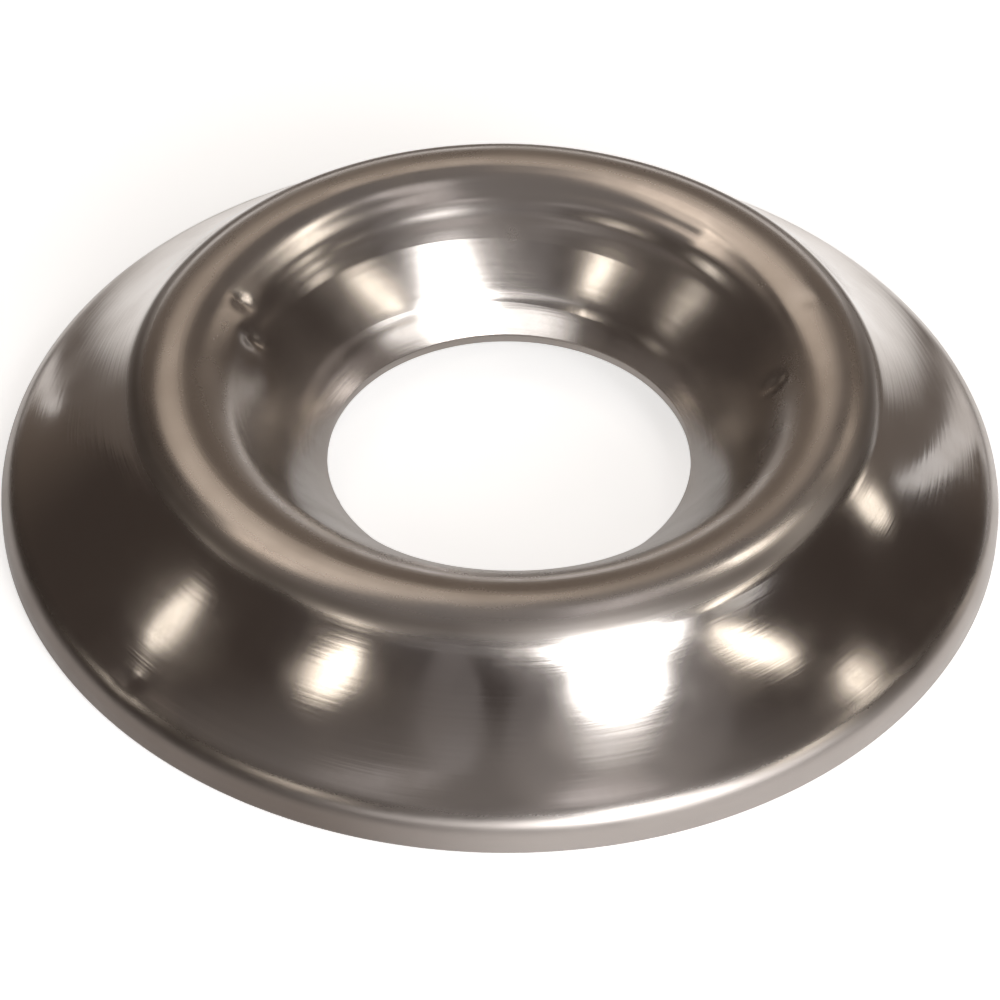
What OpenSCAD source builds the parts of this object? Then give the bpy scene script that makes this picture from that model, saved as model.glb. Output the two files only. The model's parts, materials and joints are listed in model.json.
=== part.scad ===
// Finishing cup washer, pressed from one piece of sheet metal.
// It sits on the cut edge of its rim at Z = 0, with the screw axis along +Z.
// Its section is a strip of one thickness: straight stretches and tangent bends.

/* [Overall] */
// Outside diameter of the rim
outer_d = 14.3; // [13.4:0.1:16]
// Height from the seat to the top of the crest
height = 2.4; // [2.25:0.05:3]
// Thickness of the pressed sheet
sheet_t = 0.4; // [0.3:0.02:0.5]

/* [Screw hole] */
// Diameter of the pierced screw hole
bore_d = 5.2; // [4.6:0.1:6.2]
// Height of the straight wall that the punch leaves in the hole
bore_land = 0.2; // [0.12:0.02:0.36]

/* [Crest] */
// Diameter of the ring along the top of the crest
crest_d = 9.4; // [8.6:0.1:10.2]
// Inside bend radius where the crest turns down to the skirt
crest_skirt_r = 0.4; // [0.25:0.05:0.8]
// Inside bend radius where the crest turns down into the cup
crest_cup_r = 0.8; // [0.6:0.05:1.1]

/* [Cup and skirt] */
// Slope at which the crest bend hands over to the wall of the cup, in degrees
cup_turn = 40; // [36:1:44]
// Radius of the cup's gently bellied wall, which takes a countersunk screw head
cup_wall_r = 7.5; // [6.5:0.25:14]
// Radius of the skirt's hollow flare between the crest and the rim
skirt_r = 5.5; // [3:0.25:12]

/* [Rim] */
// Height of the upright cut edge that the washer sits on
rim_land = 0.2; // [0.14:0.02:0.4]
// Inside bend radius of the turned-down rim
rim_r = 0.08; // [0.02:0.01:0.2]

/* [Hidden] */
$fn = 128;
// Largest turn between two points of a bend, in degrees
arc_step = 4;

// Outside radius of each bend
rim_bend = rim_r + sheet_t;
crest_skirt_bend = crest_skirt_r + sheet_t;
crest_cup_bend = crest_cup_r + sheet_t;

// Centres of the bends in the section, as [radius, height]
rim_centre = [outer_d / 2 - rim_bend, rim_land];
crest_skirt_centre = [crest_d / 2, height - crest_skirt_bend];
crest_cup_centre = [crest_d / 2, height - crest_cup_bend];

// The skirt's flare touches the rim bend and the crest bend from outside, so its centre
// is the third corner of a triangle on their two centres
rim_to_crest = crest_skirt_centre - rim_centre;
rim_to_flare = rim_bend + skirt_r;
crest_to_flare = crest_skirt_bend + skirt_r;
corner_cos = (rim_to_flare ^ 2 + norm(rim_to_crest) ^ 2 - crest_to_flare ^ 2)
    / (2 * rim_to_flare * norm(rim_to_crest));
rim_turn = heading(rim_to_crest) - acos(corner_cos);
flare_centre = rim_centre + rim_to_flare * ray(rim_turn);
crest_turn = heading(flare_centre - crest_skirt_centre);

// The wall of the cup goes on from the crest bend on a larger circle, down to the hole
bore_r = bore_d / 2;
wall_start = 90 + cup_turn;
wall_centre = crest_cup_centre + (crest_cup_bend - cup_wall_r) * ray(wall_start);
wall_end = acos((bore_r - wall_centre[0]) / cup_wall_r);
wall_under_r = cup_wall_r - sheet_t;
bore_top = wall_centre + cup_wall_r * ray(wall_end);
bore_bottom = bore_top - [0, bore_land];
// Below the land the sheet has torn away square to its own faces
tear = sheet_t - bore_land * sin(wall_end);
bore_under = bore_bottom - tear * ray(wall_end);

// Unit vector at an angle in the section
function ray(angle) = [cos(angle), sin(angle)];

// Angle of a vector in the section
function heading(v) = atan2(v[1], v[0]);

// Points along an arc about a centre, from one angle to another, without the first
function arc(centre, radius, from, to) =
    let (steps = ceil(abs(to - from) / arc_step))
    [for (i = [1:steps]) centre + radius * ray(from + (to - from) * i / steps)];

// Upper face of the sheet, from the foot of the rim over the crest to the hole
upper_face = concat(
    [[outer_d / 2, 0], [outer_d / 2, rim_land]],
    arc(rim_centre, rim_bend, 0, rim_turn),
    arc(flare_centre, skirt_r, rim_turn + 180, crest_turn + 180),
    arc(crest_skirt_centre, crest_skirt_bend, crest_turn, 90),
    arc(crest_cup_centre, crest_cup_bend, 90, wall_start),
    arc(wall_centre, cup_wall_r, wall_start, wall_end)
);

// Under face of the sheet, from the hole back to the foot of the rim
under_face = concat(
    [bore_bottom, bore_under, wall_centre + wall_under_r * ray(wall_end)],
    arc(wall_centre, wall_under_r, wall_end, wall_start),
    arc(crest_cup_centre, crest_cup_r, wall_start, 90),
    arc(crest_skirt_centre, crest_skirt_r, 90, crest_turn),
    arc(flare_centre, skirt_r + sheet_t, crest_turn + 180, rim_turn + 180),
    arc(rim_centre, rim_r, rim_turn, 0),
    [[outer_d / 2 - sheet_t, 0]]
);

module cup_washer() {
    color([0.66, 0.63, 0.61])
        rotate_extrude()
            polygon(concat(upper_face, under_face));
}

cup_washer();
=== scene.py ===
"""Looks of a finishing cup washer: a polished pressed ring on a pale studio floor."""

import json
import math

import bmesh
import bpy
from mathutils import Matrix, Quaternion, Vector


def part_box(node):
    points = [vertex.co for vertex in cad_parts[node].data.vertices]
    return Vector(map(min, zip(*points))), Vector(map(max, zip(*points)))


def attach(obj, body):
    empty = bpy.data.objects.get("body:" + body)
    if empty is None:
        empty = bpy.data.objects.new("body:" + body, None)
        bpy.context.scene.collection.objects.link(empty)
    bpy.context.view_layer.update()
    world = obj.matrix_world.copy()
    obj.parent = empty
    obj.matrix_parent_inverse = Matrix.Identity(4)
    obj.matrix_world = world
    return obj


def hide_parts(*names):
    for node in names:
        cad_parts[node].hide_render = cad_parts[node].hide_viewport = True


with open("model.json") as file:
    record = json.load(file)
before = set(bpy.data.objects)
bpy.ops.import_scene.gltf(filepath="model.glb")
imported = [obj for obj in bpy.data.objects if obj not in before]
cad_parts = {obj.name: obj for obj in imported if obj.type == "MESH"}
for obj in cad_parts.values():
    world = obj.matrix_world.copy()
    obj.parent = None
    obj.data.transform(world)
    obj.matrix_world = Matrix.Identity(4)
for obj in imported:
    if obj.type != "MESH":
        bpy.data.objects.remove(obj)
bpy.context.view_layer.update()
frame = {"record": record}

bl_info = {
    "name": "Finishing Cup Washer",
    "version": (1, 0, 0),
    "blender": (4, 5, 0),
    "location": "3D View > Sidebar > Cup Washer",
    "description": "Builds a polished finishing cup washer and its studio stage",
    "category": "Object",
}

NODE = "cup_washer"
BODY = "root"
SLOT = "polished_steel"
MM = 0.001

NODE_LOW, NODE_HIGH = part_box(NODE)
MOUNTS = {mount["name"]: mount for mount in frame["record"]["mounts"]}
BORE = MOUNTS["screw_bore"]["dims"]
SLOT_COLOUR = next(m["base_color"] for m in frame["record"]["materials"] if m["slot"] == SLOT)

# Dents seen on the washer: turn about the axis in degrees, distance from the axis and width
# in millimetres, share of the usual depth
DINGS = (
    (-137, 6.87, 0.18, 2.0),
    (-95, 5.72, 0.12, 0.5),
    (166, 3.77, 0.15, 4.5),
    (159, 4.11, 0.13, 4.0),
    (3, 3.75, 0.14, 6.5),
    (49, 4.08, 0.24, 0.7),
    (69, 2.94, 0.1, 0.4),
    (20, 4.51, 0.15, 1.2),
)

# Ring creases that the die left: distance from the axis in millimetres, share of depth, share of width
CREASES = (
    (2.93, 1.5, 1.3),
    (3.8, 3.4, 1.8),
    (4.12, 2.9, 1.8),
    (4.42, 0.8, 1.5),
)

# Faint steps where the punch left the far side a little steeper: distance from the axis
# in millimetres, rise
LEANS = (
    (3.55, 0.12),
    (2.93, 0.1),
)

# Rings that the die scuffed: distance from the axis and width in millimetres, share of the roughness,
# and how much of it is left at the far side
SCUFFS = (
    (4.75, 0.28, 0.9, 1.0),
    (4.15, 0.25, 0.6, 0.0),
)

# Distances from the axis, in millimetres, between which the cup's duller polish ends
CUP_REACH = (3.7, 4.6)

# Dull seam where the crest turns into the skirt, painted dark as shade on its near half: distance from
# the axis and width in millimetres
SEAM_REACH = 5.18
SEAM_WIDTH = 0.11
# Where the seam's painted shade is left out, so that highlights show: middle and width, as shares of the
# way from the axis to the right
SEAM_SHADE_GAPS = (
    (0.25, 0.2),
    (0.83, 0.1),
)

# Width of the fade into the sheared edge, in millimetres
EDGE_FADE = 0.3
# Where the painted shade on the sheared edge's left side starts and is full, as shares of the way from
# the axis to the right
EDGE_SHADE_REACH = (0.15, -0.4)
# Turn between two faces, in degrees, past which their edge counts as cut, and steps of its rounding
EDGE_TURN = 35
EDGE_STEPS = 2

# What patches and fine grain add to the unevenness of the polish, and the middle of a noise
SMUDGE_SHARE = 0.85
GRAIN_SHARE = 0.15
NOISE_MIDDLE = 0.5

WHITE = (1, 1, 1)
GREY = (1, 0.96, 0.97)
WARM = (1, 0.93, 0.82)
TAN = (1, 0.86, 0.72)
# Lamps: name, turn and rise of the middle, width, height and lean in degrees, colour, radiance
LAMPS = (
    ("window_low", 28, 22, 40, 22, 0, WHITE, 5.0),
    ("window_sill", 4, 19, 80, 11, 0, WHITE, 2.6),
    ("window_sill_right", 56, 13, 36, 10, 0, WHITE, 3.0),
    ("window_middle", 32, 36, 21, 20, 0, WHITE, 4.0),
    ("window_high", 32, 48, 12, 18, 0, WHITE, 0.9),
    ("window_wall", 33, 40, 44, 60, 0, GREY, 0.1),
    ("front_card", -13, 44, 13, 34, 0, GREY, 0.12),
    ("ceiling_front", 38, 66, 14, 12, 0, GREY, 0.6),
    ("ceiling_middle", -36, 62, 20, 6, 0, GREY, 0.25),
    ("ceiling_right", 100, 76, 30, 9, 0, GREY, 0.8),
    ("ceiling_left", -135, 65, 34, 13, 0, TAN, 0.8),
    ("left_high", -111, 55, 25, 5, -27, TAN, 1.8),
    ("back_wall", -158, 50, 36, 27, 0, TAN, 0.68),
    ("back_card", 170, 3, 100, 15, 0, WHITE, 0.75),
    ("left_lamp", -44, 36, 7, 16, 32, WARM, 4.8),
    ("left_bar", -87, 29, 6, 17, 29, WARM, 2.2),
    ("right_strip", 67, 29, 21, 6, 26, WARM, 4.6),
    ("right_lamp_low", 94, 39, 4.5, 8, -32, WARM, 4.0),
    ("right_lamp_high", 118, 57, 20, 6, 30, WARM, 4.6),
    ("right_arc", 136, 37, 28, 6, 30, TAN, 1.0),
    ("right_low", 111, 2, 7, 13, 0, WARM, 2.4),
)

# Where the room turns to its front, back and ceiling: start and end, as parts of a unit vector
FRONT_BLEND = (-0.2, -0.9)
BACK_BLEND = (0.5, 0.95)
CEILING_BLEND = (0.6, 1.0)

# Half the floor's width in metres, the camera's sensor in millimetres and its shift in frame widths
FLOOR_HALF = 0.5
SENSOR = 36
SHIFT_X = -0.0002
SHIFT_Y = -0.0093


def length(name, description, default):
    """A size property in metres, shown in the scene's length unit."""
    return bpy.props.FloatProperty(
        name=name, description=description, default=default, unit="LENGTH", precision=6)


def angle(name, description, degrees):
    """An angle property, given here in degrees."""
    return bpy.props.FloatProperty(
        name=name, description=description, default=math.radians(degrees), subtype="ANGLE")


def level(name, description, default):
    """A plain number from nothing upwards."""
    return bpy.props.FloatProperty(name=name, description=description, default=default, min=0)


def colour(name, description, default):
    """A linear colour property."""
    return bpy.props.FloatVectorProperty(
        name=name, description=description, default=default, subtype="COLOR", size=3, min=0, max=1)


class WasherSizes(bpy.types.PropertyGroup):
    """Sizes of the pressed sheet's section and of the mesh that shows it."""

    outer_d: length("Outer Diameter", "Across the rim", NODE_HIGH.x - NODE_LOW.x)
    height: length("Height", "From the seat to the top of the crest", NODE_HIGH.z - NODE_LOW.z)
    sheet: length("Sheet Thickness", "Thickness of the pressed sheet", 0.4 * MM)
    bore_d: length("Hole Diameter", "Across the screw hole", 2 * BORE["r_mm"] * MM)
    bore_land: length("Hole Land", "Height of the hole's straight wall", BORE["length_mm"] * MM / 2)
    crest_d: length("Crest Diameter", "Across the ring along the top of the crest", 9.4 * MM)
    crest_skirt_r: length("Crest Skirt Bend", "Inside bend radius from crest to skirt", 0.4 * MM)
    crest_cup_r: length("Crest Cup Bend", "Inside bend radius from crest to cup", 0.8 * MM)
    cup_turn: angle("Cup Turn", "Slope at which the cup's wall leaves the crest bend", 40)
    cup_wall_r: length("Cup Wall Belly", "Radius of the cup's bellied wall", 7.5 * MM)
    skirt_r: length("Skirt Flare", "Radius of the skirt's hollow flare", 5.5 * MM)
    rim_land: length("Rim Land", "Height of the upright cut edge", 0.2 * MM)
    rim_r: length("Rim Bend", "Inside bend radius of the rim", 0.08 * MM)
    edge_break: length("Edge Break", "Rounding left on the cut edges by tumbling", 0.04 * MM)
    ring_steps: bpy.props.IntProperty(
        name="Ring Steps", description="Faces round the washer", default=440, min=16)


class WasherWear(bpy.types.PropertyGroup):
    """Small faults of a stamped and tumbled washer."""

    drift: bpy.props.FloatVectorProperty(
        name="Hole Drift", description="How far the punch wandered off the axis",
        default=(0.12 * MM, 0.02 * MM, 0), subtype="TRANSLATION", unit="LENGTH", precision=6)
    ripple: length("Ripple", "Height of the faint waves left by pressing", 0.005 * MM)
    ripple_size: length("Ripple Size", "Width of the faint waves left by pressing", 1.6 * MM)
    ding_depth: length("Ding Depth", "Depth of a typical small dent", 0.009 * MM)
    crease_depth: length("Crease Depth", "Depth of a typical ring crease in the cup", 0.004 * MM)
    crease_width: length("Crease Width", "Width of a typical ring crease in the cup", 0.045 * MM)


class WasherFinish(bpy.types.PropertyGroup):
    """Colour and polish of the metal, with painted shade on the seam and on the left of the sheared edge.
    """

    metal: colour("Metal", "Colour that the polished metal gives to what it mirrors", SLOT_COLOUR)
    stain: colour("Stain", "Colour of the metal where the polish has dulled", (0.5, 0.45, 0.41))
    polish: level("Polish", "Roughness of the polished skirt", 0.15)
    cup_polish: level("Cup Polish", "Roughness inside the cup, which polishing reaches less", 0.225)
    scuff: level("Scuff", "Roughness that the die added along the crest", 0.16)
    wear: level("Polish Wear", "How much the roughness changes from patch to patch", 0.13)
    grain_size: length("Grain Size", "Width of the tumbling's fine grain", 0.035 * MM)
    smudge_size: length("Smudge Size", "Width of the patches of different polish", 1.1 * MM)
    line_depth: length("Forming Lines", "Depth of the fine rings left by the die", 0.0012 * MM)
    line_width: length("Forming Line Width", "Width of the fine rings left by the die", 0.07 * MM)
    edge_polish: level("Edge Polish", "Roughness of the sheared edge, which is never polished", 0.42)
    # painted shade: dark colour laid on the near half of the seam outside the crest
    seam_shade: colour("Seam Metal", "Colour of the dull seam outside the crest", (0.26, 0.23, 0.21))
    edge_metal: colour("Edge Metal", "Colour of the sheared edge", (0.4, 0.365, 0.345))
    # painted shade: the sheared edge darkens towards its left side
    edge_shade: colour("Edge Shade", "Colour of the edge where it is tarnished", (0.15, 0.125, 0.11))


class WasherStudio(bpy.types.PropertyGroup):
    """Camera, floor and light."""

    camera_distance: length("Camera Distance", "From the middle of the foot", 71.5 * MM)
    camera_rise: angle("Camera Rise", "Angle of the camera above the floor", 42.7)
    camera_roll: angle("Camera Roll", "Turn of the camera about its view", 0.99)
    lens: bpy.props.FloatProperty(
        name="Lens", description="Focal length in millimetres", default=178.7, unit="CAMERA")
    floor: colour("Floor", "Colour of the paper under the washer", (0.9, 0.9, 0.9))
    floor_far: colour("Far Floor", "Colour of the far paper in the metal's mirror", (0.28, 0.25, 0.23))
    room_front: colour("Room Front", "Colour of the dark room behind the camera", (0.072, 0.059, 0.055))
    room_sides: colour("Room Sides", "Colour of the dark room at both sides", (0.064, 0.05, 0.043))
    room_back: colour("Room Back", "Colour of the lit wall behind the washer", (0.2, 0.16, 0.13))
    ceiling: colour("Ceiling", "Colour straight overhead", (0.24, 0.22, 0.21))
    floor_glow: level("Floor Glow", "Light that the paper adds to its own where it is seen", 0.6)
    glow_start: length("Glow Start", "From the axis to where mirrored paper starts to dim", 8.5 * MM)
    glow_end: length("Glow End", "From the axis to where mirrored paper stops dimming", 12.5 * MM)
    under_glow: level("Under Glow", "Share of the mirrored paper's light left under the hole", 0.42)
    lamp_level: level("Lamp Level", "Strength of all lamps together", 1.0)
    lamp_distance: length("Lamp Distance", "From the middle of the foot to every lamp", 0.25)


class NodeNumber:
    """A number in a node tree. Sums with it add the tree's own math nodes."""

    def __init__(self, tree, socket):
        self.tree = tree
        self.socket = socket

    def math(self, operation, *others):
        """One math node on this number and the others."""
        node = self.tree.nodes.new("ShaderNodeMath")
        node.operation = operation
        for socket, term in zip(node.inputs, (self, *others)):
            feed(socket, term)
        return NodeNumber(self.tree, node.outputs["Value"])

    def __add__(self, other):
        return self.math("ADD", other)

    def __sub__(self, other):
        return self.math("SUBTRACT", other)

    def __mul__(self, other):
        return self.math("MULTIPLY", other)

    def __truediv__(self, other):
        return self.math("DIVIDE", other)

    def cos(self):
        return self.math("COSINE")

    def sin(self):
        return self.math("SINE")

    def bell(self):
        """One at zero, with a soft fall to nothing on both sides."""
        return (self * self * -1).math("EXPONENT")

    def complement(self):
        """What is left of one."""
        return self * -1 + 1


def feed(socket, value):
    """Links a node number or an output socket to an input, or sets a plain value on it."""
    if isinstance(value, NodeNumber):
        value = value.socket
    if isinstance(value, bpy.types.NodeSocket):
        socket.id_data.links.new(value, socket)
    else:
        socket.default_value = value


def add_node(tree, kind, inputs=None, **settings):
    """One node with its settings, and its inputs by name or number."""
    node = tree.nodes.new(kind)
    for name, value in settings.items():
        setattr(node, name, value)
    for key, value in (inputs or {}).items():
        feed(node.inputs[key], value)
    return node


def vector(tree, x=0.0, y=0.0, z=0.0):
    """Output socket of a vector made from three numbers."""
    return add_node(tree, "ShaderNodeCombineXYZ", {"X": x, "Y": y, "Z": z}).outputs["Vector"]


def ramp(tree, value, start, end, low=0.0, high=1.0, kind="SMOOTHSTEP"):
    """A number that goes from low to high as a value goes from start to end."""
    node = add_node(tree, "ShaderNodeMapRange", {
        "Value": value, "From Min": start, "From Max": end, "To Min": low, "To Max": high},
        interpolation_type=kind)
    return NodeNumber(tree, node.outputs["Result"])


def parts(tree, socket):
    """The three numbers of a vector."""
    split = add_node(tree, "ShaderNodeSeparateXYZ", {"Vector": socket})
    return [NodeNumber(tree, output) for output in split.outputs]


def scaled(tree, direction, share):
    """Output socket of a vector times a number."""
    node = add_node(tree, "ShaderNodeVectorMath", {0: direction, "Scale": share}, operation="SCALE")
    return node.outputs["Vector"]


def polar(centre, radius, turn):
    """Point of the section at an angle about a centre, as radius and height."""
    return centre[0] + radius * turn.cos(), centre[1] + radius * turn.sin()


class SectionTree:
    """Geometry Nodes tree that draws the sheet's section and turns it about the screw axis."""

    SIZES = ("outer_d", "height", "sheet", "bore_d", "bore_land", "crest_d", "crest_skirt_r",
             "crest_cup_r", "cup_turn", "cup_wall_r", "skirt_r", "rim_land", "rim_r")
    WEAR = ("ripple", "ripple_size", "ding_depth", "crease_depth", "crease_width")
    # points along each stretch of the section, the under face's bends with one count for all
    FOOT_POINTS = 3
    LAND_POINTS = 4
    INSIDE_POINTS = 3
    RIM_POINTS = 10
    FLARE_POINTS = 26
    SKIRT_BEND_POINTS = 16
    CUP_BEND_POINTS = 34
    WALL_POINTS = 56
    TEAR_POINTS = 3
    CLOSING_POINTS = 2
    UNDER_POINTS = 6
    # ends of two stretches that are this close, in metres, become one point
    JOIN = 1e-7

    def __init__(self):
        """Starts the tree with its named inputs and its output."""
        self.tree = bpy.data.node_groups.new("Pressed ring", "GeometryNodeTree")
        sockets = self.tree.interface
        for name in self.SIZES + self.WEAR:
            sockets.new_socket(name, in_out="INPUT", socket_type="NodeSocketFloat")
        sockets.new_socket("drift", in_out="INPUT", socket_type="NodeSocketVector")
        sockets.new_socket("ring_steps", in_out="INPUT", socket_type="NodeSocketInt")
        sockets.new_socket("finish", in_out="INPUT", socket_type="NodeSocketMaterial")
        sockets.new_socket("Geometry", in_out="OUTPUT", socket_type="NodeSocketGeometry")
        self.given = self.tree.nodes.new("NodeGroupInput").outputs
        self.strips = []

    def number(self, name):
        """One of the tree's inputs."""
        return NodeNumber(self.tree, self.given[name])

    def fixed(self, value):
        """A plain number as part of the tree."""
        node = add_node(self.tree, "ShaderNodeValue")
        node.outputs["Value"].default_value = value
        return NodeNumber(self.tree, node.outputs["Value"])

    def arc(self, centre, radius, start, end, points):
        """Adds one face of a bend to the section."""
        curve = add_node(self.tree, "GeometryNodeCurveArc", {
            "Resolution": points, "Radius": radius, "Start Angle": start, "Sweep Angle": end - start})
        placed = add_node(self.tree, "GeometryNodeTransform", {
            "Geometry": curve.outputs["Curve"], "Translation": vector(self.tree, *centre)})
        self.strips.append(placed.outputs["Geometry"])

    def bend(self, centre, upper, under, start, end, points):
        """Adds both faces of a bend, the upper one with more points."""
        self.arc(centre, upper, start, end, points)
        self.arc(centre, under, start, end, self.UNDER_POINTS)

    def line(self, start, end, points):
        """Adds a straight stretch to the section."""
        curve = add_node(self.tree, "GeometryNodeCurvePrimitiveLine", {
            "Start": vector(self.tree, *start), "End": vector(self.tree, *end)})
        cut = add_node(self.tree, "GeometryNodeResampleCurve", {
            "Curve": curve.outputs["Curve"], "Count": points})
        self.strips.append(cut.outputs["Curve"])

    def draw_section(self):
        """The strip of sheet, bend by bend from the rim to the hole."""
        size = {name: self.number(name) for name in self.SIZES}
        sheet = size["sheet"]
        outer_r = size["outer_d"] * 0.5
        crest_r = size["crest_d"] * 0.5
        bore_r = size["bore_d"] * 0.5
        rim_bend = size["rim_r"] + sheet
        skirt_bend = size["crest_skirt_r"] + sheet
        cup_bend = size["crest_cup_r"] + sheet
        upright = self.fixed(math.pi / 2)

        rim_c = (outer_r - rim_bend, size["rim_land"])
        skirt_c = (crest_r, size["height"] - skirt_bend)
        cup_c = (crest_r, size["height"] - cup_bend)

        # the flare touches the rim bend and the crest bend from outside
        across = skirt_c[0] - rim_c[0]
        up = skirt_c[1] - rim_c[1]
        apart = (across * across + up * up).math("SQRT")
        to_rim = rim_bend + size["skirt_r"]
        to_crest = skirt_bend + size["skirt_r"]
        corner = (to_rim * to_rim + apart * apart - to_crest * to_crest) / (to_rim * apart * 2)
        rim_turn = up.math("ARCTAN2", across) - corner.math("ARCCOSINE")
        flare_c = polar(rim_c, to_rim, rim_turn)
        crest_turn = (flare_c[1] - skirt_c[1]).math("ARCTAN2", flare_c[0] - skirt_c[0])

        # the cup's wall goes on from the crest bend on a larger circle, down to the hole
        wall_start = upright + size["cup_turn"]
        wall_c = polar(cup_c, cup_bend - size["cup_wall_r"], wall_start)
        wall_end = ((bore_r - wall_c[0]) / size["cup_wall_r"]).math("ARCCOSINE")
        wall_under = size["cup_wall_r"] - sheet
        bore_top = polar(wall_c, size["cup_wall_r"], wall_end)
        bore_bottom = (bore_r, bore_top[1] - size["bore_land"])
        tear = size["bore_land"] * wall_end.sin() - sheet
        bore_under = polar(bore_bottom, tear, wall_end)

        foot_out = (outer_r, 0.0)
        foot_in = (outer_r - sheet, 0.0)
        self.line(foot_in, foot_out, self.FOOT_POINTS)
        self.line(foot_out, (outer_r, size["rim_land"]), self.LAND_POINTS)
        self.line(foot_in, (outer_r - sheet, size["rim_land"]), self.INSIDE_POINTS)
        self.bend(rim_c, rim_bend, size["rim_r"], 0.0, rim_turn, self.RIM_POINTS)
        self.bend(flare_c, size["skirt_r"], to_rim - size["rim_r"],
                  crest_turn + math.pi, rim_turn + math.pi, self.FLARE_POINTS)
        self.bend(skirt_c, skirt_bend, size["crest_skirt_r"], crest_turn, upright, self.SKIRT_BEND_POINTS)
        self.bend(cup_c, cup_bend, size["crest_cup_r"], upright, wall_start, self.CUP_BEND_POINTS)
        self.bend(wall_c, size["cup_wall_r"], wall_under, wall_start, wall_end, self.WALL_POINTS)
        self.line(bore_top, bore_bottom, self.LAND_POINTS)
        self.line(bore_bottom, bore_under, self.TEAR_POINTS)
        self.line(bore_under, polar(wall_c, wall_under, wall_end), self.CLOSING_POINTS)

    def turn_section(self):
        """Joins the strips to one closed outline and sweeps it round the axis."""
        joined = add_node(self.tree, "GeometryNodeJoinGeometry")
        for strip in self.strips:
            edges = add_node(self.tree, "GeometryNodeCurveToMesh", {"Curve": strip})
            self.tree.links.new(edges.outputs["Mesh"], joined.inputs["Geometry"])
        merged = add_node(self.tree, "GeometryNodeMergeByDistance", {
            "Geometry": joined.outputs["Geometry"], "Distance": self.JOIN})
        outline = add_node(self.tree, "GeometryNodeMeshToCurve", {"Mesh": merged.outputs["Geometry"]})
        crest_r = self.number("crest_d") * 0.5
        # the sweep draws a section's height downwards, from the ring that it follows
        seated = add_node(self.tree, "GeometryNodeTransform", {
            "Geometry": outline.outputs["Curve"], "Scale": (1, -1, 1),
            "Translation": vector(self.tree, crest_r * -1)})
        ring = add_node(self.tree, "GeometryNodeCurvePrimitiveCircle", {
            "Resolution": self.given["ring_steps"], "Radius": crest_r})
        swept = add_node(self.tree, "GeometryNodeCurveToMesh", {
            "Curve": ring.outputs["Curve"], "Profile Curve": seated.outputs["Geometry"]})
        return swept.outputs["Mesh"]

    def wear_sheet(self, mesh):
        """Moves both faces together for the hole's drift, the waves, the dents and the creases."""
        place = add_node(self.tree, "GeometryNodeInputPosition").outputs["Position"]
        x, y, z = parts(self.tree, place)
        radius = (x * x + y * y).math("SQRT")
        bore_r = self.number("bore_d") * 0.5
        outer_r = self.number("outer_d") * 0.5
        near_hole = ramp(self.tree, radius, bore_r, outer_r, 1.0, 0.0)
        drift = scaled(self.tree, self.given["drift"], near_hole)

        waves = add_node(self.tree, "ShaderNodeTexNoise", {
            "Vector": place, "Scale": self.fixed(1.0) / self.number("ripple_size"),
            "Detail": 1.0}, noise_dimensions="3D").outputs["Fac"]
        push = (NodeNumber(self.tree, waves) - NOISE_MIDDLE) * self.number("ripple")
        for turn, reach, width, share in DINGS:
            across = x - reach * MM * math.cos(math.radians(turn))
            along = y - reach * MM * math.sin(math.radians(turn))
            fall = (across * across + along * along) / (width * MM) / (width * MM) * -1
            push = push - fall.math("EXPONENT") * self.number("ding_depth") * share

        # the ring creases are deepest at the far side of the cup
        far_side = (y / radius).math("MAXIMUM", 0.0)
        for reach, depth_share, width_share in CREASES:
            off = (radius - reach * MM) / self.number("crease_width") / width_share
            groove = off.bell() * self.number("crease_depth") * depth_share
            push = push - groove * far_side

        # the foot stays flat on the floor
        push = push * (z / self.number("rim_land")).math("MINIMUM", 1.0)
        normal = add_node(self.tree, "GeometryNodeInputNormal").outputs["Normal"]
        side = parts(self.tree, normal)[2].math("SIGN")
        shift = scaled(self.tree, normal, push * side)
        total = add_node(self.tree, "ShaderNodeVectorMath", {0: shift, 1: drift}, operation="ADD")
        worn = add_node(self.tree, "GeometryNodeSetPosition", {
            "Geometry": mesh, "Offset": total.outputs["Vector"]})
        return worn.outputs["Geometry"]

    def finish(self, mesh):
        """Sets the metal and ends the tree."""
        real = add_node(self.tree, "GeometryNodeRealizeInstances", {"Geometry": mesh})
        metal = add_node(self.tree, "GeometryNodeSetMaterial", {
            "Geometry": real.outputs["Geometry"], "Material": self.given["finish"]})
        add_node(self.tree, "NodeGroupOutput", {"Geometry": metal.outputs["Geometry"]})


def mix_colour(tree, share, first, second):
    """Socket of a mix of two colours, each given as three numbers or as a socket."""
    mix = add_node(tree, "ShaderNodeMix", data_type="RGBA")
    share_in, first_in, second_in, result = mix.inputs[0], mix.inputs[6], mix.inputs[7], mix.outputs[2]
    feed(share_in, share)
    for socket, tone in ((first_in, first), (second_in, second)):
        feed(socket, tone if isinstance(tone, bpy.types.NodeSocket) else (*tone, 1))
    return result


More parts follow.
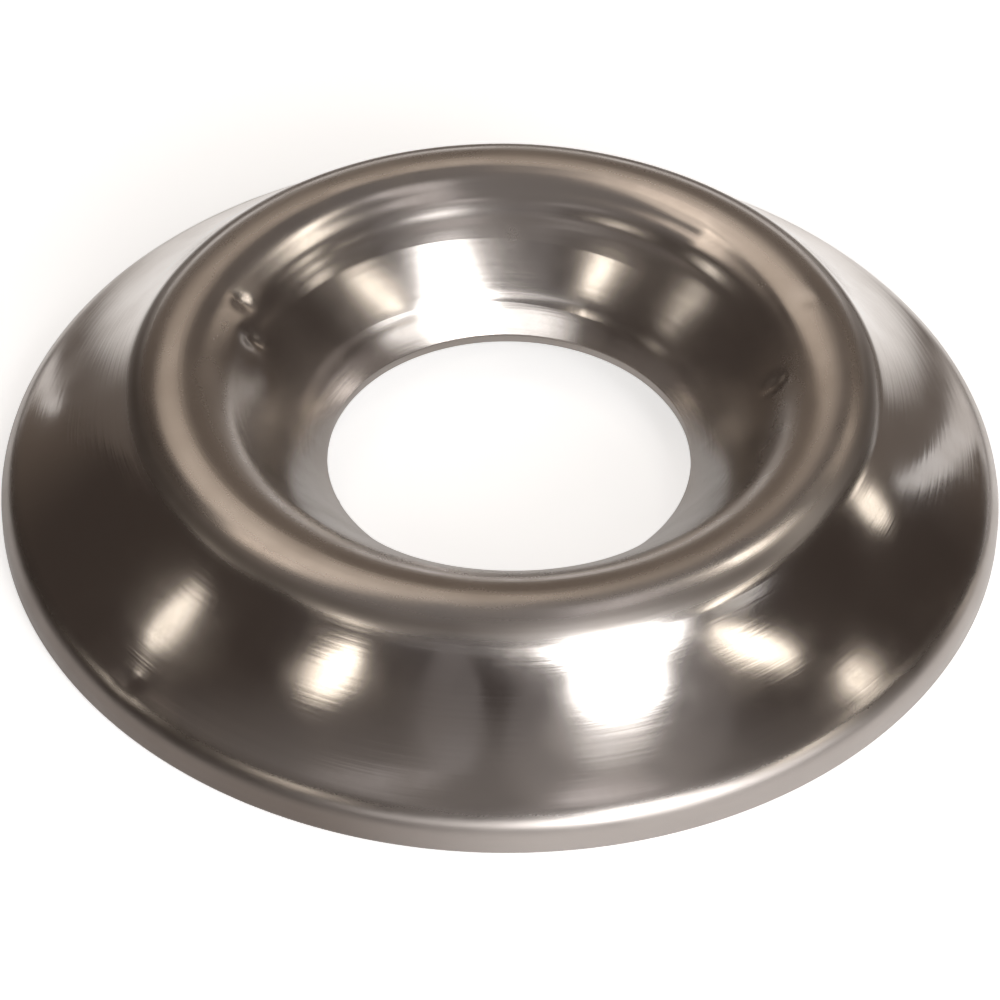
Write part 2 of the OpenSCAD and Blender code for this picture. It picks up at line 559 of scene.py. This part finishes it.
def polished_metal(finish):
    """Uneven polish, duller in the cup and along the crest, with fine rings from the die, and painted
    shade on the seam's near half and the sheared edge's left side.
    """
    material = bpy.data.materials.new(SLOT)
    material.use_nodes = True
    tree = material.node_tree
    shader = tree.nodes["Principled BSDF"]
    place = add_node(tree, "ShaderNodeTexCoord").outputs["Object"]
    x, y, z = parts(tree, place)
    radius = (x * x + y * y).math("SQRT")
    far_side = (y / radius).math("MAXIMUM", 0.0)

    smudge = add_node(tree, "ShaderNodeTexNoise", {
        "Vector": place, "Scale": 1 / finish.smudge_size, "Detail": 4.0}).outputs["Fac"]
    grain = add_node(tree, "ShaderNodeTexNoise", {
        "Vector": place, "Scale": 1 / finish.grain_size, "Detail": 1.0}).outputs["Fac"]
    worn = NodeNumber(tree, smudge) * SMUDGE_SHARE + NodeNumber(tree, grain) * GRAIN_SHARE - NOISE_MIDDLE
    rough = ramp(tree, radius, CUP_REACH[0] * MM, CUP_REACH[1] * MM, finish.cup_polish, finish.polish)
    rough = rough + worn * 2 * finish.wear
    for reach, width, share, far_share in SCUFFS:
        dull = ((radius - reach * MM) / (width * MM)).bell() * (finish.scuff * share)
        rough = rough + dull * (far_side * (far_share - 1) + 1)

    # the seam is dull all along the near half, and painted dark there as shade, except where highlights
    # are let through
    unpolished = finish.edge_polish - finish.polish
    seam = ((radius - SEAM_REACH * MM) / (SEAM_WIDTH * MM)).bell() * far_side.complement()
    rough = rough + seam * unpolished
    for middle, width in SEAM_SHADE_GAPS:
        seam = seam * ((x / radius - middle) / width).bell().complement()
    sheared = ramp(tree, radius, NODE_HIGH.x - EDGE_FADE * MM, NODE_HIGH.x, kind="LINEAR")
    rough = rough + sheared * unpolished

    tint = mix_colour(tree, smudge, finish.metal, finish.stain)
    # painted shade: the seam's near half is darkened, except in its gaps
    tint = mix_colour(tree, seam, tint, finish.seam_shade)
    # painted shade: the sheared edge darkens towards its left side
    edge = mix_colour(tree, ramp(tree, x / radius, *EDGE_SHADE_REACH), finish.edge_metal, finish.edge_shade)
    tint = mix_colour(tree, sheared, tint, edge)

    # the rings change slowly round the washer and fast across it
    around = vector(tree, x / radius, y / radius, z / finish.line_width)
    lines = add_node(tree, "ShaderNodeTexNoise", {
        "Vector": around, "W": radius / finish.line_width, "Scale": 1.0, "Detail": 3.0},
        noise_dimensions="4D").outputs["Fac"]
    height = NodeNumber(tree, lines) * finish.line_depth
    for reach, lean in LEANS:
        inside = (radius * -1 + reach * MM).math("MAXIMUM", 0.0)
        height = height - inside * far_side * lean
    bump = add_node(tree, "ShaderNodeBump", {"Height": height / MM, "Distance": MM, "Strength": 1.0})

    feed(shader.inputs["Metallic"], 1.0)
    feed(shader.inputs["Base Color"], tint)
    feed(shader.inputs["Roughness"], rough)
    feed(shader.inputs["Normal"], bump.outputs["Normal"])
    return material


def plain_mesh(piece):
    """Replaces a piece's mesh and modifiers by the mesh that they give."""
    graph = bpy.context.evaluated_depsgraph_get()
    result = bpy.data.meshes.new_from_object(piece.evaluated_get(graph))
    piece.modifiers.clear()
    piece.data = result
    return result


class WASHER_OT_pressed_ring(bpy.types.Operator):
    """Turns the section of the pressed sheet into the polished washer"""

    bl_idname = "washer.pressed_ring"
    bl_label = "Pressed Ring"

    def execute(self, context):
        scene = context.scene
        sizes, wear, finish = scene.washer_sizes, scene.washer_wear, scene.washer_finish
        section = SectionTree()
        section.draw_section()
        section.finish(section.wear_sheet(section.turn_section()))

        piece = bpy.data.objects.new("polished_washer", bpy.data.meshes.new("polished_washer"))
        scene.collection.objects.link(piece)
        lathe = piece.modifiers.new("Lathe", "NODES")
        lathe.node_group = section.tree
        values = {name: getattr(sizes, name) for name in (*section.SIZES, "ring_steps")}
        values.update({name: getattr(wear, name) for name in (*section.WEAR, "drift")})
        values["finish"] = polished_metal(finish)
        for item in section.tree.interface.items_tree:
            if item.in_out == "INPUT":
                lathe[item.identifier] = values[item.name]
        edge = piece.modifiers.new("Edge break", "BEVEL")
        edge.limit_method = "ANGLE"
        edge.angle_limit = math.radians(EDGE_TURN)
        edge.width = sizes.edge_break
        edge.segments = EDGE_STEPS

        mesh = plain_mesh(piece)
        shell = bmesh.new()
        shell.from_mesh(mesh)
        bmesh.ops.recalc_face_normals(shell, faces=shell.faces)
        shell.to_mesh(mesh)
        shell.free()
        mesh.shade_smooth()
        if not mesh.polygons:
            raise RuntimeError("the section gave no faces")
        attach(piece, BODY)
        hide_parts(NODE)
        return {"FINISHED"}


def towards(turn, rise):
    """Unit vector at a turn from the camera's side to the right and a rise, both in degrees."""
    around = math.radians(turn)
    above = math.radians(rise)
    flat = math.cos(above)
    return Vector((math.sin(around) * flat, -math.cos(around) * flat, math.sin(above)))


class WASHER_OT_stage(bpy.types.Operator):
    """Sets the floor, the lamps, the room and the camera"""

    bl_idname = "washer.stage"
    bl_label = "Stage"

    def execute(self, context):
        scene = context.scene
        studio = scene.washer_studio
        self.floor(scene, studio)
        for lamp in LAMPS:
            self.lamp(scene, studio, *lamp)
        self.room(scene, studio)
        self.camera(scene, studio)
        scene.view_settings.view_transform = "Standard"
        return {"FINISHED"}

    def floor(self, scene, studio):
        """Pale paper that is white to the camera and keeps the washer's shadow."""
        corners = [(x * FLOOR_HALF, y * FLOOR_HALF, 0) for x, y in ((-1, -1), (1, -1), (1, 1), (-1, 1))]
        mesh = bpy.data.meshes.new("floor")
        mesh.from_pydata(corners, [], [(0, 1, 2, 3)])
        floor = bpy.data.objects.new("floor", mesh)
        scene.collection.objects.link(floor)
        material = bpy.data.materials.new("floor_paper")
        material.use_nodes = True
        tree = material.node_tree
        tree.nodes.clear()
        path = add_node(tree, "ShaderNodeLightPath")
        # mirrored in the metal, the paper is as bright as it is to the camera only round the washer:
        # it is shaded under the hole, and dims with distance
        place = add_node(tree, "ShaderNodeTexCoord")
        measure = add_node(tree, "ShaderNodeVectorMath", {0: place.outputs["Object"]}, operation="LENGTH")
        away = measure.outputs["Value"]
        near = ramp(tree, away, studio.glow_start, studio.glow_end, 1.0, 0.0)
        near = near * ramp(tree, away, BORE["r_mm"] * MM, NODE_HIGH.x, studio.under_glow)
        mirrored = NodeNumber(tree, path.outputs["Is Glossy Ray"])
        mirrored = mirrored.math("MAXIMUM", path.outputs["Is Transmission Ray"])
        seen = (mirrored * near).math("MAXIMUM", path.outputs["Is Camera Ray"])
        tone = mix_colour(tree, mirrored * near.complement(), studio.floor, studio.floor_far)
        paper = add_node(tree, "ShaderNodeBsdfDiffuse", {"Color": tone})
        glow = add_node(tree, "ShaderNodeEmission", {
            "Color": (*WHITE, 1), "Strength": seen * studio.floor_glow})
        both = add_node(tree, "ShaderNodeAddShader", {
            0: paper.outputs["BSDF"], 1: glow.outputs["Emission"]})
        add_node(tree, "ShaderNodeOutputMaterial", {"Surface": both.outputs["Shader"]})
        mesh.materials.append(material)

    def lamp(self, scene, studio, name, turn, rise, width, height, lean, tint, radiance):
        """One soft lamp that faces the washer, as large and as bright as it looks from there."""
        data = bpy.data.lights.new(name, "AREA")
        data.shape = "ELLIPSE"
        data.size = 2 * studio.lamp_distance * math.tan(math.radians(width / 2))
        data.size_y = 2 * studio.lamp_distance * math.tan(math.radians(height / 2))
        data.color = tint
        area = math.pi / 4 * data.size * data.size_y
        data.energy = radiance * studio.lamp_level * math.pi * area
        lamp = bpy.data.objects.new(name, data)
        way = towards(turn, rise)
        lamp.location = way * studio.lamp_distance
        facing = way.to_track_quat("Z", "Y")
        lamp.rotation_euler = (facing @ Quaternion((0, 0, 1), math.radians(lean))).to_euler()
        lamp.visible_camera = False
        scene.collection.objects.link(lamp)

    def room(self, scene, studio):
        """The dim room that the metal mirrors between the lamps."""
        world = bpy.data.worlds.new("studio")
        scene.world = world
        world.use_nodes = True
        tree = world.node_tree
        tree.nodes.clear()
        place = add_node(tree, "ShaderNodeTexCoord")
        _, back, up = parts(tree, place.outputs["Generated"])
        walls = mix_colour(tree, ramp(tree, back, *FRONT_BLEND), studio.room_sides, studio.room_front)
        walls = mix_colour(tree, ramp(tree, back, *BACK_BLEND), walls, studio.room_back)
        whole = mix_colour(tree, ramp(tree, up, *CEILING_BLEND), walls, studio.ceiling)
        light = add_node(tree, "ShaderNodeBackground", {"Color": whole})
        add_node(tree, "ShaderNodeOutputWorld", {"Surface": light.outputs["Background"]})

    def camera(self, scene, studio):
        """The camera, which looks down on the washer."""
        data = bpy.data.cameras.new("camera")
        data.lens = studio.lens
        data.sensor_width = SENSOR
        data.clip_start = MM
        data.shift_x = SHIFT_X
        data.shift_y = SHIFT_Y
        camera = bpy.data.objects.new("camera", data)
        way = towards(0, math.degrees(studio.camera_rise))
        camera.location = way * studio.camera_distance
        aim = way.to_track_quat("Z", "Y") @ Quaternion((0, 0, 1), studio.camera_roll)
        camera.rotation_euler = aim.to_euler()
        scene.collection.objects.link(camera)
        scene.camera = camera


class WASHER_PT_panel(bpy.types.Panel):
    """Sizes, finish and steps of the cup washer"""

    bl_idname = "WASHER_PT_panel"
    bl_label = "Cup Washer"
    bl_space_type = "VIEW_3D"
    bl_region_type = "UI"
    bl_category = "Cup Washer"

    def draw(self, context):
        for group in GROUPS:
            box = self.layout.box()
            values = getattr(context.scene, group)
            for name in values.__annotations__:
                box.prop(values, name)
        for operator in OPERATORS:
            self.layout.operator(operator.bl_idname)


GROUPS = {
    "washer_sizes": WasherSizes,
    "washer_wear": WasherWear,
    "washer_finish": WasherFinish,
    "washer_studio": WasherStudio,
}
OPERATORS = (WASHER_OT_pressed_ring, WASHER_OT_stage)


def register():
    for item in (*GROUPS.values(), *OPERATORS, WASHER_PT_panel):
        bpy.utils.register_class(item)
    for name, group in GROUPS.items():
        setattr(bpy.types.Scene, name, bpy.props.PointerProperty(type=group))


def unregister():
    for name in GROUPS:
        delattr(bpy.types.Scene, name)
    for item in (WASHER_PT_panel, *reversed(OPERATORS), *reversed(GROUPS.values())):
        bpy.utils.unregister_class(item)


def main():
    """Builds the washer and its stage."""
    register()
    bpy.ops.washer.pressed_ring()
    bpy.ops.washer.stage()


if __name__ == "__main__":
    main()
